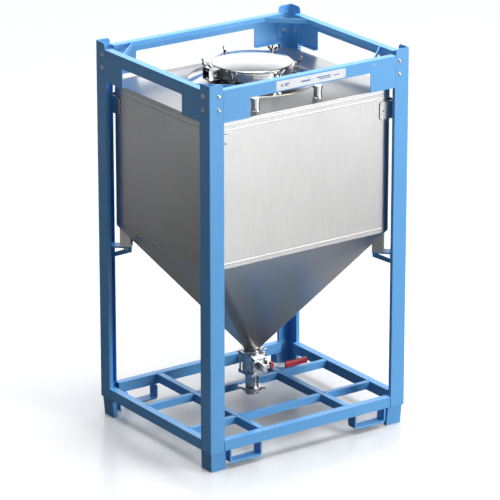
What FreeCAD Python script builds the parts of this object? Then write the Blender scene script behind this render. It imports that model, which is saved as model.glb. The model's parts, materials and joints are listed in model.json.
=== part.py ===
import FreeCAD, Part
import math
import os

# Intermediate bulk container: a stainless hopper tank in a painted steel stacking frame.
# Millimetres. Origin on the floor under the middle of the frame, +Z up, type plate towards -Y.

V = FreeCAD.Vector
UP = V(0, 0, 1)

# ---- overall ----
FRAME_LENGTH = 1200.0
FRAME_WIDTH = 1000.0
FRAME_HEIGHT = 2000.0
SHEET = 4.0                 # frame sheet thickness
HALF_X = FRAME_LENGTH / 2
HALF_Y = FRAME_WIDTH / 2
OVER = 1.0                  # cutters run past the faces they cut by this
THIN = 0.01                 # an edge shorter than this along an axis lies across it

# ---- corner posts ----
POST_LEG = 85.0             # leg of the folded angle
POST_LIP = 20.0             # inward lip at each leg's edge
POST_BOTTOM = 100.0
POST_TOP_LEG = POST_LEG - 5  # narrower leg beside the top rails
TIP_RADIUS = 18.0

# ---- top rails ----
TIP_RISE = 33.0             # post tip above the rails
RAIL_TOP = FRAME_HEIGHT - TIP_RISE
RAIL_DEEP = 163.0           # web depth at the bolted ends
RAIL_SLIM = 62.0            # web depth over the notch
NOTCH_X = 728.0             # notch length, front and rear rails
NOTCH_Y = 528.0             # notch length, side rails
NOTCH_RADIUS = 8.0
RAIL_FLANGE = 40.0
RAIL_LIP = 25.0
RAIL_FOOT_LIP = 22.0
RAIL_GAP = 1.0              # gap between rail web and post edge
TAB_LAP = 14.0              # overlap of the joggled tab with the web
TAB_REACH = 25.0            # tab stops this far from the post's corner
SLING_HOLE = 4.5            # radius of the small hole in the front rail
SLING_HOLE_X = 387.0
SLING_HOLE_DROP = 21.0      # below the rail top

# ---- rail bolts ----
BOLT_FROM_CORNER = 57.0
BOLT_DROPS = (29.0, 97.0)   # below the rail top
M12 = 6.0                   # shank radius
BOLT_PLAY = 0.5
HEAD_RADIUS = 11.5
HEAD_HEIGHT = 6.5
NUT_FLATS = 19.0
NUT_HEIGHT = 10.0
THREAD_PLAY = 0.05
THREAD_STICKOUT = 3.0       # bolt end beyond its nut

# ---- corner braces ----
BRACE_LEG = 190.0           # from the frame corner, along each side
BRACE_HEIGHT = 25.0
BRACE_SHEET = 5.0
BRACE_DROP = 2.0            # top of brace below the rail top

# ---- base ----
BASE_TOP = 158.0
BASE_RAIL_HEIGHT = 55.0
BASE_RAIL_DEPTH = 40.0
BASE_WALL = 3.0
LONG_MEMBER_INNER = 248.0   # inner face from the middle
LONG_MEMBER_WIDTH = 32.0
LONG_MEMBER_HEIGHT = 45.0
CROSS_MEMBER_WIDTH = 25.0
CROSS_MEMBER_HEIGHT = 38.0
CROSS_REAR_FACES = (-240.0, 138.0)

# ---- feet ----
FOOT_LEG = POST_LEG + 10
FOOT_SHEET = 6.0
FOOT_LIP = 22.0
FOOT_INSET_TOP = 8.0
FOOT_INSET_FLOOR = 14.0
FOOT_NEST = 60.0            # length inside the post

# ---- fork guards ----
FORK_INNER = 290.0
FORK_OUTER = 482.0
FORK_DEPTH = 60.0
FORK_BAR = 8.0
FORK_CLEAR = 28.0           # above the floor
FORK_ROUND = 16.0

# ---- tank ----
TANK_GAP = 47.0             # frame face to tank wall
TANK_CORNER = 70.0
TANK_WALL = 3.0
TANK_BOTTOM = 1040.0
TANK_TOP = 1790.0
TANK_X = HALF_X - TANK_GAP
TANK_Y = HALF_Y - TANK_GAP
BAND_PROUD = 1.2            # rolled stiffening bands on the wall
BAND_LEVELS = ((1062.0, 6.0), (1745.0, 5.0), (1772.0, 5.0))

# ---- hopper ----
HOPPER_BOTTOM = 396.0
OUTLET_HALF = 46.0
OUTLET_CORNER = 42.0

# ---- roof and hatch ----
ROOF_RISE = 28.0
SHOULDER_RADIUS = 325.0
SHOULDER_RISE = 40.0
SHOULDER_LIP = 3.0          # flat ring of the roof inside that circle
NECK_RADIUS = 200.0
NECK_HEIGHT = 18.0
RIM_RADIUS = NECK_RADIUS + 12
RIM_HEIGHT = 11.0
LID_GAP = 2.0
LID_RIM_HEIGHT = 10.0
LID_CROWN_RADIUS = NECK_RADIUS + 3  # upright skirt under the dome
LID_CROWN_RISE = 12.0       # dome's edge above the rim
LID_KNUCKLE = 7.0           # rounding between skirt and dome
LID_DOME = 17.0
LID_SHEET = 3.0
SEAL_PLAY = 0.4
SEAL_WIDTH = 9.0
SHOULDER_Z = TANK_TOP + ROOF_RISE
NECK_Z = SHOULDER_Z + SHOULDER_RISE
RIM_Z = NECK_Z + NECK_HEIGHT
SEAT_Z = RIM_Z + RIM_HEIGHT
LID_Z = SEAT_Z + LID_GAP
LID_RIM_TOP = LID_Z + LID_RIM_HEIGHT

# ---- swing bolts ----
SWING_ANGLES = (30.0, 90.0, 150.0, 210.0, 270.0, 330.0)
SWING_RADIUS = RIM_RADIUS + 14  # pivot from the lid's middle
SWING_DROP = 35.0           # pivot below the lid rim's top
SWING_LEAN = 20.0           # released bolt leans out this far
EYE_RADIUS = 9.5
EYE_THICK = 11.0
SWING_SHANK = 5.0
SWING_LENGTH = 68.0
PIVOT_PIN = 4.0
PIN_PLAY = 0.06
CLEVIS_SHEET = 5.0
CLEVIS_GAP = 1.0            # each side of the eye
CLEVIS_REACH = 10.0         # beyond the pivot
CLEVIS_ROOT = 5.0           # drawn this far into the neck, then cut back to it
PIVOT_STICKOUT = 2.0        # pivot pin beyond the cheeks
FORK_LUG_REACH = 11.0
FORK_LUG_WIDTH = 34.0
FORK_LUG_SLOT = 12.0
FORK_LUG_ROOT = 15.0        # drawn this far into the rim, then cut back to it
FORK_LUG_FLOOR = 2.0        # slot stops this far outside the rim
WING_HUB = 11.0
WING_HUB_TOP = 8.25
WING_HUB_HEIGHT = 13.0
WING_START = 36.0           # from the pivot, along the shank
WING_SPAN = 28.0
WING_SHEET = 5.0
WING_HEIGHT = 26.0
WING_ROOT = 6.6             # half width where the wings meet the hub
WING_SHOULDER = 20.0        # height of the wing's outer edge
WING_TIP = 4.0              # tip rounding, as a chamfer
WING_INNER = 16.0           # inner end of the wing's top edge
WING_DIP = 2.0
WING_VALLEY = 11.0          # height between the wings

# ---- lid hinge ----
HINGE_REACH = 50.0          # pin beyond the rim
HINGE_RISE = 6.0            # pin above the lid rim's top
HINGE_PIN = 6.0
HINGE_BARREL = 11.0
HINGE_HALF = 20.0
HINGE_EAR = 6.0
HINGE_EAR_GAP = 3.0
HINGE_BACK = 16.0           # ear beyond the pin
HINGE_ARM = 8.0
HINGE_PIN_HEAD = 9.0
HINGE_HEAD_THICK = 3.0
HINGE_EAR_ROOT = 5.0        # drawn this far into the neck, then cut back to it
HINGE_EAR_CHAMFER = 8.0
HINGE_EAR_CREST = 14.0      # ear's top above the pin
HINGE_EAR_NOSE = 12.0       # ear's top reaches this far inside the pin
HINGE_EAR_BACK = 6.0        # ear's rear edge ends this far above the pin
HINGE_LIFT = 1.0            # bracket's base above the shoulder

# ---- roof ports ----
PORTS = ((117.0, -395.0), (-257.0, -395.0))
PORT_RADIUS = 21.0
PORT_WALL = 2.5
PORT_BASE_DROP = 6.0
PORT_HEIGHT = 62.0
PORT_CAP_RADIUS = 25.0
PORT_CAP_HEIGHT = 16.0
PORT_CAP_ROUND = 3.0

# ---- tank supports on the posts, along each corner's diagonal ----
SHELF_TOP = 927.0
SHELF_SHEET = 8.0
SHELF_END = 171.0           # from the post's outer corner
SHELF_HALF = 30.0
GUSSET_TIP = 36.0           # gusset height at the shelf's end
GUSSET_ROOT = 80.0          # gusset height at the post
GUSSET_SHEET = 6.0
BACK_PLATE_START = 28.0
GUSSET_HOLE = ((82.0, 10.0), (82.0, 34.0), (148.0, 10.0))
LEG_START = 116.0
LEG_SHEET = 5.0
LEG_BASE = 6.0
LEG_TOP = 1060.0
LEG_BOLT_AT = 143.0
LEG_BOLT_SIDE = 14.5        # beside the gusset
LEG_BOLT_HEAD = 8.0
LEG_BOLT_FLATS = 17.0

# ---- upper tank brackets ----
BRACKET_BOTTOM = 1635.0
BRACKET_HEIGHT = 92.0
BRACKET_LENGTH = 28.0       # along the flat wall before the corner
BRACKET_SHEET = 5.0
BRACKET_FOLD = 14.0         # outer fold radius, round the tank's wider corner
BRACKET_ROUND = 16.0        # rounding of the flanges' free corners

# ---- type plate ----
PLATE_LENGTH = 417.0
PLATE_HEIGHT = 47.0
PLATE_SHEET = 1.2
PLATE_DROP = 9.0            # below the rail top
PLATE_RIVET = 3.0
PLATE_RIVET_INSET = 8.0

# ---- outlet and valve ----
PIPE = 35.0
PIPE_BORE = PIPE - 2
FERRULE_RIM = PIPE + 10.5
FERRULE_RIM_HEIGHT = 8.0
FERRULE_NECK = 16.0
FERRULE_TAPER = 4.0
VALVE_BORE = 28.0
PLATE_X = 50.0              # half sizes of the valve's end plates
PLATE_Y = 60.0
END_PLATE = 16.0
BODY_HEIGHT = 82.0
BODY_RADIUS = 49.0          # round body between the end plates, inside the tie bolts
BODY_PAD = 32.0             # half width of the flat pad under the bonnet
BODY_PAD_START = 20.0
BODY_CORNER = 12.0
BALL_RADIUS = 42.0
BALL_PLAY = 0.3
CAVITY_RADIUS = 43.5
SEAT_PLAY = 0.3
SEAT_REACH = 25.0           # seat's inner end from the ball's middle
STEM_RADIUS = 9.0
STEM_PLAY = 0.06
STEM_SOCKET = 36.0          # stem's inner end from the ball's middle
BONNET_HALF = BODY_HEIGHT / 2 + 2
BONNET_HEIGHT = 14.0
BOSS_RADIUS = 22.0
BOSS_HEIGHT = 13.0
LEVER_GAP = 2.0
HUB_RADIUS = 20.0
HUB_LENGTH = 18.0
STEM_END = 8.0
LOWER_TUBE = 72.0
SPIGOT = 22.0
CLAMP_RADIUS = FERRULE_RIM + 7.5
CLAMP_PLAY = 0.4
CLAMP_HEIGHT = 15.0
CLAMP_EAR = 24.0            # ear's width, and half the screw's length
CLAMP_EAR_ROOT = 4.0
CLAMP_EAR_REACH = 16.0
CLAMP_EAR_INSET = 2.0
CLAMP_SCREW = 3.0
CLAMP_SCREW_AT = 8.0        # beyond the ring
CLAMP_WING = (-2.0, 20.0)   # wing's inner and outer ends beyond the ring
CLAMP_WING_SHEET = 5.0
UPPER_CLAMP_HEADING = 180.0
LOWER_CLAMP_HEADING = 145.0
TIE_BOLT = 5.0
TIE_HEAD = 8.0
TIE_HEAD_HEIGHT = 6.0
TIE_INSET = 11.0
BONNET_BOLT_INSET = 10.0

# ---- lever ----
LEVER_BAR = 24.0
LEVER_SHEET = 6.0
LEVER_STEP = 16.0           # the grip lies this much lower than the hub
LEVER_STEP_START = 62.0
GRIP_START = 140.0
GRIP_END = 273.0
GRIP_HEIGHT = 32.0
GRIP_THICK = 20.0
GRIP_ROUND = 6.0
GRIP_CAP = 8.0              # closed end of the grip beyond the bar
BAR_STEP_END = 10.0         # the bar's bend ends this far before the grip
COLLAR_START = 44.0
COLLAR_LENGTH = 17.0
COLLAR_HEIGHT = 38.0
COLLAR_THICK = 18.0
COLLAR_PLAY = 0.1
COLLAR_ROUND = 4.0

# ---- valve levels, from the hopper's outlet down ----
FERRULE_BOTTOM = HOPPER_BOTTOM - FERRULE_NECK - FERRULE_RIM_HEIGHT
UPPER_PLATE_TOP = FERRULE_BOTTOM - FERRULE_RIM_HEIGHT
BODY_TOP = UPPER_PLATE_TOP - END_PLATE
BODY_BOTTOM = BODY_TOP - BODY_HEIGHT
BALL_Z = (BODY_TOP + BODY_BOTTOM) / 2
LOWER_PLATE_BOTTOM = BODY_BOTTOM - END_PLATE
JOINT_Z = LOWER_PLATE_BOTTOM - LOWER_TUBE - FERRULE_RIM_HEIGHT
BONNET_Y = -PLATE_Y - BONNET_HEIGHT
BOSS_Y = BONNET_Y - BOSS_HEIGHT
HUB_BACK = BOSS_Y - LEVER_GAP
HUB_FRONT = HUB_BACK - HUB_LENGTH
LEVER_Y = (HUB_BACK + HUB_FRONT) / 2

CORNERS = {
    "front_left": (-1, -1),
    "front_right": (1, -1),
    "rear_left": (-1, 1),
    "rear_right": (1, 1),
}


def save(name, shape):
    """Writes one node's solids to its own STEP file."""
    solids = shape.Solids
    bad = [index for index, solid in enumerate(solids) if not solid.isValid()]
    if bad or not solids:
        raise RuntimeError("%s has no solid, or a faulty one: %s" % (name, bad))
    (solids[0] if len(solids) == 1 else Part.Compound(solids)).exportStep("parts/%s.step" % name)


def box(low, high):
    """A box between two corners."""
    size = [b - a for a, b in zip(low, high)]
    return Part.makeBox(size[0], size[1], size[2], V(*low))


def rod(radius, start, end):
    """A cylinder from one point to another."""
    run = V(*end) - V(*start)
    return Part.makeCylinder(radius, run.Length, V(*start), run)


def slab(points, direction):
    """A polygon pushed along a direction."""
    wire = Part.makePolygon([V(*p) for p in points] + [V(*points[0])])
    return Part.Face(wire).extrude(V(*direction))


def turn_z(shape, degrees):
    """A copy of a shape turned about the vertical axis through the origin."""
    copy = shape.copy()
    copy.rotate(V(0, 0, 0), UP, degrees)
    return copy


def rounded_outline(half_x, half_y, radius, z):
    """Eight edges of a rounded rectangle, starting on its +X side and running anticlockwise."""
    edges = []
    for turn, (sx, sy) in enumerate(((1, 1), (-1, 1), (-1, -1), (1, -1))):
        centre = V(sx * (half_x - radius), sy * (half_y - radius), z)
        arc = [centre + turned(radius, 90 * turn + a) for a in (0, 45, 90)]
        edges.append(Part.Arc(*arc).toShape())
    wire = []
    for this, following in zip(edges, edges[1:] + edges[:1]):
        wire += [this, Part.makeLine(this.Vertexes[-1].Point, following.Vertexes[0].Point)]
    return Part.Wire(wire)


def turned(radius, degrees):
    """A horizontal vector of a given length and direction."""
    return V(radius * math.cos(math.radians(degrees)), radius * math.sin(math.radians(degrees)), 0)


def circle_outline(radius, z, half_x, half_y, corner):
    """A circle in eight arcs that pair with the eight edges of a rounded rectangle."""
    spread = [(half_x, half_y - corner), (half_x - corner, half_y)]
    low, high = [math.degrees(math.atan2(y, x)) for x, y in spread]
    angles = []
    for flip in (0, 180):
        angles += [low + flip, high + flip, 180 - high + flip, 180 - low + flip]
    edges = []
    for a, b in zip(angles, angles[1:] + [angles[0] + 360]):
        middle = (a + b) / 2
        edges.append(Part.Arc(*[V(0, 0, z) + turned(radius, t) for t in (a, middle, b)]).toShape())
    return Part.Wire(edges)


def prism(outline, height):
    """A closed outline pushed straight up."""
    return Part.Face(outline).extrude(V(0, 0, height))


def spun(profile):
    """A solid of revolution about the vertical axis, from (radius, z) points."""
    wire = Part.makePolygon([V(r, 0, z) for r, z in profile + profile[:1]])
    return Part.Face(wire).revolve(V(0, 0, 0), UP, 360)


def fused(shapes):
    """One solid made of several, with shared faces merged."""
    first, rest = shapes[0], shapes[1:]
    return first.multiFuse(rest).removeSplitter() if rest else first


def cornered(shape, corner):
    """Moves a shape drawn at the +X +Y corner, in leg coordinates, to a named corner of the frame."""
    sx, sy = CORNERS[corner]
    placed = shape.copy()
    placed.translate(V(-HALF_X, -HALF_Y, 0))
    if sx > 0:
        placed = placed.mirror(V(0, 0, 0), V(1, 0, 0))
    if sy > 0:
        placed = placed.mirror(V(0, 0, 0), V(0, 1, 0))
    return placed


def angle_section(inset, sheet, leg, lip, z):
    """Outline of a lipped angle whose outer corner is at (inset, inset)."""
    a, b, c = inset, inset + sheet, leg - sheet
    points = [(a, a), (leg, a), (leg, a + lip), (c, a + lip), (c, b), (b, b),
              (b, c), (a + lip, c), (a + lip, leg), (a, leg)]
    return Part.makePolygon([V(x, y, z) for x, y in points + points[:1]])


# ---------------------------------------------------------------- frame

def post():
    """Lipped folded angle; above the rails' lower edge the legs are plain and narrower."""
    shape = Part.Face(angle_section(0, SHEET, POST_LEG, POST_LIP, POST_BOTTOM))
    shape = shape.extrude(V(0, 0, FRAME_HEIGHT - POST_BOTTOM))
    edge = [e for e in shape.Edges if is_upright(e) and e.Vertexes[0].Point.distanceToPoint(
        V(0, 0, e.Vertexes[0].Point.z)) < THIN]
    shape = shape.makeFillet(SHEET, edge)
    rail_bottom = RAIL_TOP - RAIL_DEEP
    low = rail_bottom - RAIL_GAP
    shape = shape.cut(box((POST_TOP_LEG, -OVER, low), (POST_LEG + OVER, POST_LEG, FRAME_HEIGHT)))
    shape = shape.cut(box((-OVER, POST_TOP_LEG, low), (POST_LEG, POST_LEG + OVER, FRAME_HEIGHT)))
    for outward, across in ((V(1, 0, 0), V(0, 1, 0)), (V(0, 1, 0), V(1, 0, 0))):
        shape = shape.cut(tip_waste(outward, across))
    return shape.cut(bolt_rods(M12 + BOLT_PLAY, -OVER, SHEET + OVER))


def is_upright(edge):
    """True for a straight edge along Z."""
    return edge.BoundBox.XLength < THIN and edge.BoundBox.YLength < THIN


def tip_waste(outward, across):
    """What is cut away to round a leg's free top corner."""
    size = TIP_RADIUS
    corner_a = outward * (POST_TOP_LEG - size) + V(0, 0, FRAME_HEIGHT - size) - across
    corner_b = corner_a + outward * (size + OVER) + across * (POST_LEG + OVER) + V(0, 0, size + OVER)
    block = box(tuple(corner_a), tuple(corner_b))
    round_bar = Part.makeCylinder(size, 2 * POST_LEG, corner_a - across * OVER, across)
    return block.cut(round_bar)


def bolt_spots():
    """Places of the rail bolts on one post: a point on the post's face and the way into the post."""
    spots = []
    for drop in BOLT_DROPS:
        z = RAIL_TOP - drop
        spots.append((V(BOLT_FROM_CORNER, 0, z), V(0, 1, 0)))
        spots.append((V(0, BOLT_FROM_CORNER, z), V(1, 0, 0)))
    return spots


def bolt_rods(radius, start, end):
    """Rods along the rail bolts of one post, from and to a depth under its face."""
    rods = [Part.makeCylinder(radius, end - start, p + way * start, way) for p, way in bolt_spots()]
    return Part.Compound(rods)


def rail_bolt(place, way):
    """Dome-headed bolt, its head on the post's face."""
    length = 2 * SHEET + NUT_HEIGHT + THREAD_STICKOUT
    shank = Part.makeCylinder(M12, length, place, way)
    dome_radius = (HEAD_RADIUS ** 2 + HEAD_HEIGHT ** 2) / (2 * HEAD_HEIGHT)
    ball = Part.makeSphere(dome_radius, place - way * (HEAD_HEIGHT - dome_radius))
    head = ball.common(Part.makeCylinder(HEAD_RADIUS, HEAD_HEIGHT, place, way * -1))
    return shank.fuse(head)


def hexagon(flats, height, place, way, bore):
    """A hexagon nut with a round bore, or a plain hexagon head where the bore is 0."""
    ring = [turned(flats / math.sqrt(3), a) for a in range(30, 390, 60)]
    nut = Part.Face(Part.makePolygon(ring + ring[:1])).extrude(V(0, 0, height))
    if bore:
        nut = nut.cut(Part.makeCylinder(bore, height + 2 * OVER, V(0, 0, -OVER)))
    nut.Placement = FreeCAD.Placement(place, FreeCAD.Rotation(UP, way))
    return nut


def rail_nut(place, way):
    """Nut against the inside of the rail's tab."""
    return hexagon(NUT_FLATS, NUT_HEIGHT, place + way * (2 * SHEET), way, M12 + THREAD_PLAY)


def top_rail(length, notch, side_holes):
    """Folded rail along X with its face at y=0 and its inside towards +Y, centred on x=0."""
    edge = length / 2 - POST_TOP_LEG - RAIL_GAP
    bottom = RAIL_TOP - RAIL_DEEP
    shape = box((-edge, 0, bottom), (edge, SHEET, RAIL_TOP))
    gap = box((-notch / 2, -OVER, bottom - OVER), (notch / 2, SHEET + OVER, RAIL_TOP - RAIL_SLIM))
    gap = gap.makeFillet(NOTCH_RADIUS, [e for e in gap.Edges if along_y(e) and e.BoundBox.ZMin > bottom])
    parts = [shape.cut(gap), box((-edge, SHEET, RAIL_TOP - SHEET), (edge, RAIL_FLANGE, RAIL_TOP)),
             box((-edge, RAIL_FLANGE - SHEET, RAIL_TOP - RAIL_LIP), (edge, RAIL_FLANGE, RAIL_TOP - SHEET))]
    for side in (-1, 1):
        ends = sorted((side * notch / 2, side * edge))
        parts.append(box((ends[0], SHEET, bottom), (ends[1], RAIL_FOOT_LIP, bottom + SHEET)))
        tab = sorted((side * (edge - TAB_LAP), side * (length / 2 - TAB_REACH)))
        tab = box((tab[0], SHEET, bottom + RAIL_FOOT_LIP), (tab[1], 2 * SHEET, RAIL_TOP - SHEET))
        for drop in BOLT_DROPS:
            x = side * (length / 2 - BOLT_FROM_CORNER)
            tab = tab.cut(rod(M12 + BOLT_PLAY, (x, 0, RAIL_TOP - drop), (x, 3 * SHEET, RAIL_TOP - drop)))
        parts.append(tab)
    rail = fused(parts)
    for x in side_holes:
        z = RAIL_TOP - SLING_HOLE_DROP
        rail = rail.cut(rod(SLING_HOLE, (x, -OVER, z), (x, SHEET + OVER, z)))
    return rail


def along_y(edge):
    """True for a straight edge along Y."""
    return edge.BoundBox.XLength < THIN and edge.BoundBox.ZLength < THIN


def along_x(edge):
    """True for a straight edge along X."""
    return edge.BoundBox.YLength < THIN and edge.BoundBox.ZLength < THIN


def corner_brace():
    """Diagonal flat bar between the lips of two top rails, at one corner."""
    start, end = RAIL_FLANGE, BRACE_LEG
    half = BRACE_SHEET / math.sqrt(2)
    z = RAIL_TOP - BRACE_DROP - BRACE_HEIGHT
    points = [(end - half, start), (end + half, start), (start, end + half), (start, end - half)]
    return slab([(x, y, z) for x, y in points], (0, 0, BRACE_HEIGHT))


def box_tube(low, high, axis):
    """Rectangular tube between two corners, hollow along one axis."""
    inner_low = [v + (-OVER if i == axis else BASE_WALL) for i, v in enumerate(low)]
    inner_high = [v - (-OVER if i == axis else BASE_WALL) for i, v in enumerate(high)]
    return box(low, high).cut(box(inner_low, inner_high))


def foot():
    """Folded angle nested in the post, leaning in towards the floor, with rounded lips."""
    top = angle_section(FOOT_INSET_TOP, FOOT_SHEET, FOOT_LEG, FOOT_LIP, POST_BOTTOM)
    shift = FOOT_INSET_FLOOR - FOOT_INSET_TOP
    floor = angle_section(FOOT_INSET_FLOOR, FOOT_SHEET, FOOT_LEG + shift, FOOT_LIP, 0)
    lower = Part.makeLoft([floor, top], True, True)
    nest = POST_LEG - SHEET - RAIL_GAP
    points = [(SHEET, SHEET), (nest, SHEET), (nest, FOOT_INSET_TOP + FOOT_SHEET),
              (FOOT_INSET_TOP + FOOT_SHEET, FOOT_INSET_TOP + FOOT_SHEET),
              (FOOT_INSET_TOP + FOOT_SHEET, nest), (SHEET, nest)]
    upper = slab([(x, y, POST_BOTTOM) for x, y in points], (0, 0, FOOT_NEST))
    return fused([lower, upper])


def fork_guard(side, end):
    """U-shaped flat bar under a base rail, open for a fork along Y."""
    top = BASE_TOP - BASE_RAIL_HEIGHT
    outer = box((FORK_INNER, -HALF_Y, FORK_CLEAR), (FORK_OUTER, -HALF_Y + FORK_DEPTH, top))
    inner = box((FORK_INNER + FORK_BAR, -HALF_Y - OVER, FORK_CLEAR + FORK_BAR),
                (FORK_OUTER - FORK_BAR, -HALF_Y + FORK_DEPTH + OVER, top + OVER))
    outer = rounded_low(outer, FORK_ROUND, FORK_CLEAR)
    inner = rounded_low(inner, FORK_ROUND - FORK_BAR, FORK_CLEAR + FORK_BAR)
    shape = outer.cut(inner)
    if side < 0:
        shape = shape.mirror(V(0, 0, 0), V(1, 0, 0))
    return shape if end < 0 else shape.mirror(V(0, 0, 0), V(0, 1, 0))


def rounded_low(shape, radius, bottom):
    """Rounds the lower edges that run along Y."""
    edges = [e for e in shape.Edges if along_y(e) and e.BoundBox.ZMin < bottom + THIN]
    return shape.makeFillet(radius, edges)


# ---------------------------------------------------------------- tank

def tank_block(grow, low, high):
    """Upright rounded block on the tank's plan, grown outwards by a distance."""
    return prism(rounded_outline(TANK_X + grow, TANK_Y + grow, TANK_CORNER + grow, low), high - low)


def tank_shell():
    """Tank wall with shallow rolled bands."""
    top = TANK_TOP - TANK_WALL
    wall = tank_block(0, TANK_BOTTOM, top)
    bands = [tank_block(BAND_PROUD, z - height / 2, z + height / 2) for z, height in BAND_LEVELS]
    return fused([wall] + bands).cut(tank_block(-TANK_WALL, TANK_BOTTOM - OVER, top + OVER))


def hopper_block(grow):
    """Closed pyramid from the tank's plan to the outlet, grown outwards by a distance."""
    high = rounded_outline(TANK_X + grow, TANK_Y + grow, TANK_CORNER + grow, TANK_BOTTOM)
    low = rounded_outline(OUTLET_HALF + grow, OUTLET_HALF + grow, OUTLET_CORNER + grow, HOPPER_BOTTOM)
    return Part.makeLoft([low, high], True, True)


def roof_block():
    """Closed block under the roof's outer face: a short upright edge, then flats rising to the circle."""
    edge = rounded_outline(TANK_X, TANK_Y, TANK_CORNER, TANK_TOP)
    circle = circle_outline(SHOULDER_RADIUS, SHOULDER_Z, TANK_X, TANK_Y, TANK_CORNER)
    base = tank_block(0, TANK_TOP - TANK_WALL, TANK_TOP)
    return base.fuse(Part.makeLoft([edge, circle], True, True))


def roof():
    """Roof sheet with its hatch hole and port holes."""
    block = roof_block()
    under = block.copy()
    under.translate(V(0, 0, -TANK_WALL))
    sheet = block.cut(under)
    low, high = TANK_BOTTOM, FRAME_HEIGHT
    sheet = sheet.cut(rod(SHOULDER_RADIUS - SHOULDER_LIP, (0, 0, low), (0, 0, high)))
    for x, y in PORTS:
        sheet = sheet.cut(rod(PORT_RADIUS, (x, y, low), (x, y, high)))
    return sheet


def hatch_neck():
    """Conical shoulder, short neck and flat rim, as one spun shell."""
    wall = TANK_WALL
    outer = SHOULDER_RADIUS - SHOULDER_LIP
    return spun([(outer, SHOULDER_Z), (NECK_RADIUS, NECK_Z), (NECK_RADIUS, RIM_Z), (RIM_RADIUS, RIM_Z),
                 (RIM_RADIUS, SEAT_Z), (NECK_RADIUS - wall, SEAT_Z),
                 (NECK_RADIUS - wall, NECK_Z - wall / 2), (outer, SHOULDER_Z - wall)])


def dome_arc(radius, base, crown):
    """Arc in the XZ plane from a rim point up to the crown, square to the axis there."""
    rise = crown - base
    sphere = (radius ** 2 + rise ** 2) / (2 * rise)
    half = math.asin(radius / sphere) / 2
    middle = V(sphere * math.sin(half), 0, crown - sphere + sphere * math.cos(half))
    return Part.Arc(V(radius, 0, base), middle, V(0, 0, crown)).toShape()


def lid():
    """Flat rim, short upright skirt, rounded knuckle and shallow dome, as one spun shell."""
    skirt, inside = LID_CROWN_RADIUS, LID_CROWN_RADIUS - LID_SHEET
    edge = LID_RIM_TOP + LID_CROWN_RISE
    crown = edge + LID_DOME
    bend = LID_KNUCKLE * (1 - math.sqrt(0.5))
    knuckle = Part.Arc(V(skirt, 0, edge - LID_KNUCKLE), V(skirt - bend, 0, edge - bend),
                       V(skirt - LID_KNUCKLE, 0, edge)).toShape()
    outside = dome_arc(skirt - LID_KNUCKLE, edge, crown)
    under = dome_arc(inside, edge - LID_SHEET, crown - LID_SHEET)
    corners = [V(0, 0, crown), V(0, 0, crown - LID_SHEET)]
    rim = [V(inside, 0, edge - LID_SHEET), V(inside, 0, LID_Z), V(RIM_RADIUS, 0, LID_Z),
           V(RIM_RADIUS, 0, LID_RIM_TOP), V(skirt, 0, LID_RIM_TOP), V(skirt, 0, edge - LID_KNUCKLE)]
    lines = [Part.makeLine(a, b) for a, b in zip(rim, rim[1:])]
    wire = Part.Wire(Part.sortEdges([Part.makeLine(*corners), under, *lines, knuckle, outside])[0])
    return Part.Face(wire).revolve(V(0, 0, 0), UP, 360)


def lid_gasket():
    """Flat seal ring under the lid's rim."""
    middle = (RIM_RADIUS + NECK_RADIUS - TANK_WALL) / 2
    a, b = middle - SEAL_WIDTH / 2, middle + SEAL_WIDTH / 2
    low = SEAT_Z + SEAL_PLAY
    return spun([(a, low), (b, low), (b, LID_Z), (a, LID_Z)])


def fork_lug():
    """Open fork on the lid's rim, at plan angle 0."""
    end = RIM_RADIUS + FORK_LUG_REACH
    low, high = LID_Z - OVER, LID_RIM_TOP + OVER
    wide, slim = FORK_LUG_WIDTH / 2, FORK_LUG_SLOT / 2
    lug = box((RIM_RADIUS - FORK_LUG_ROOT, -wide, LID_Z), (end, wide, LID_RIM_TOP))
    slot = box((RIM_RADIUS + FORK_LUG_FLOOR, -slim, low), (end + OVER, slim, high))
    return lug.cut(slot).cut(rod(RIM_RADIUS, (0, 0, low), (0, 0, high)))


PIVOT = V(SWING_RADIUS, 0, LID_RIM_TOP - SWING_DROP)


def clevis_pair():
    """Two cheeks on the neck's rim that hold a swing bolt's eye, at plan angle 0."""
    inner = EYE_THICK / 2 + CLEVIS_GAP
    cheeks = []
    for side in (-1, 1):
        start = min(side * inner, side * (inner + CLEVIS_SHEET))
        cheek = box((NECK_RADIUS - CLEVIS_ROOT, start, NECK_Z + HINGE_LIFT),
                    (SWING_RADIUS + CLEVIS_REACH, start + CLEVIS_SHEET, RIM_Z))
        cheek = cheek.cut(neck_core())
        hole = Part.makeCylinder(PIVOT_PIN, 2 * SWING_RADIUS, PIVOT - V(0, SWING_RADIUS, 0), V(0, 1, 0))
        cheeks.append(cheek.cut(hole))
    return cheeks


def neck_core():
    """The space inside the neck's outer wall."""
    return rod(NECK_RADIUS, (0, 0, SHOULDER_Z), (0, 0, SEAT_Z))


def pivot_pin():
    """Pin through both cheeks, at plan angle 0."""
    half = EYE_THICK / 2 + CLEVIS_GAP + CLEVIS_SHEET + PIVOT_STICKOUT
    return Part.makeCylinder(PIVOT_PIN, 2 * half, PIVOT - V(0, half, 0), V(0, 1, 0))


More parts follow.
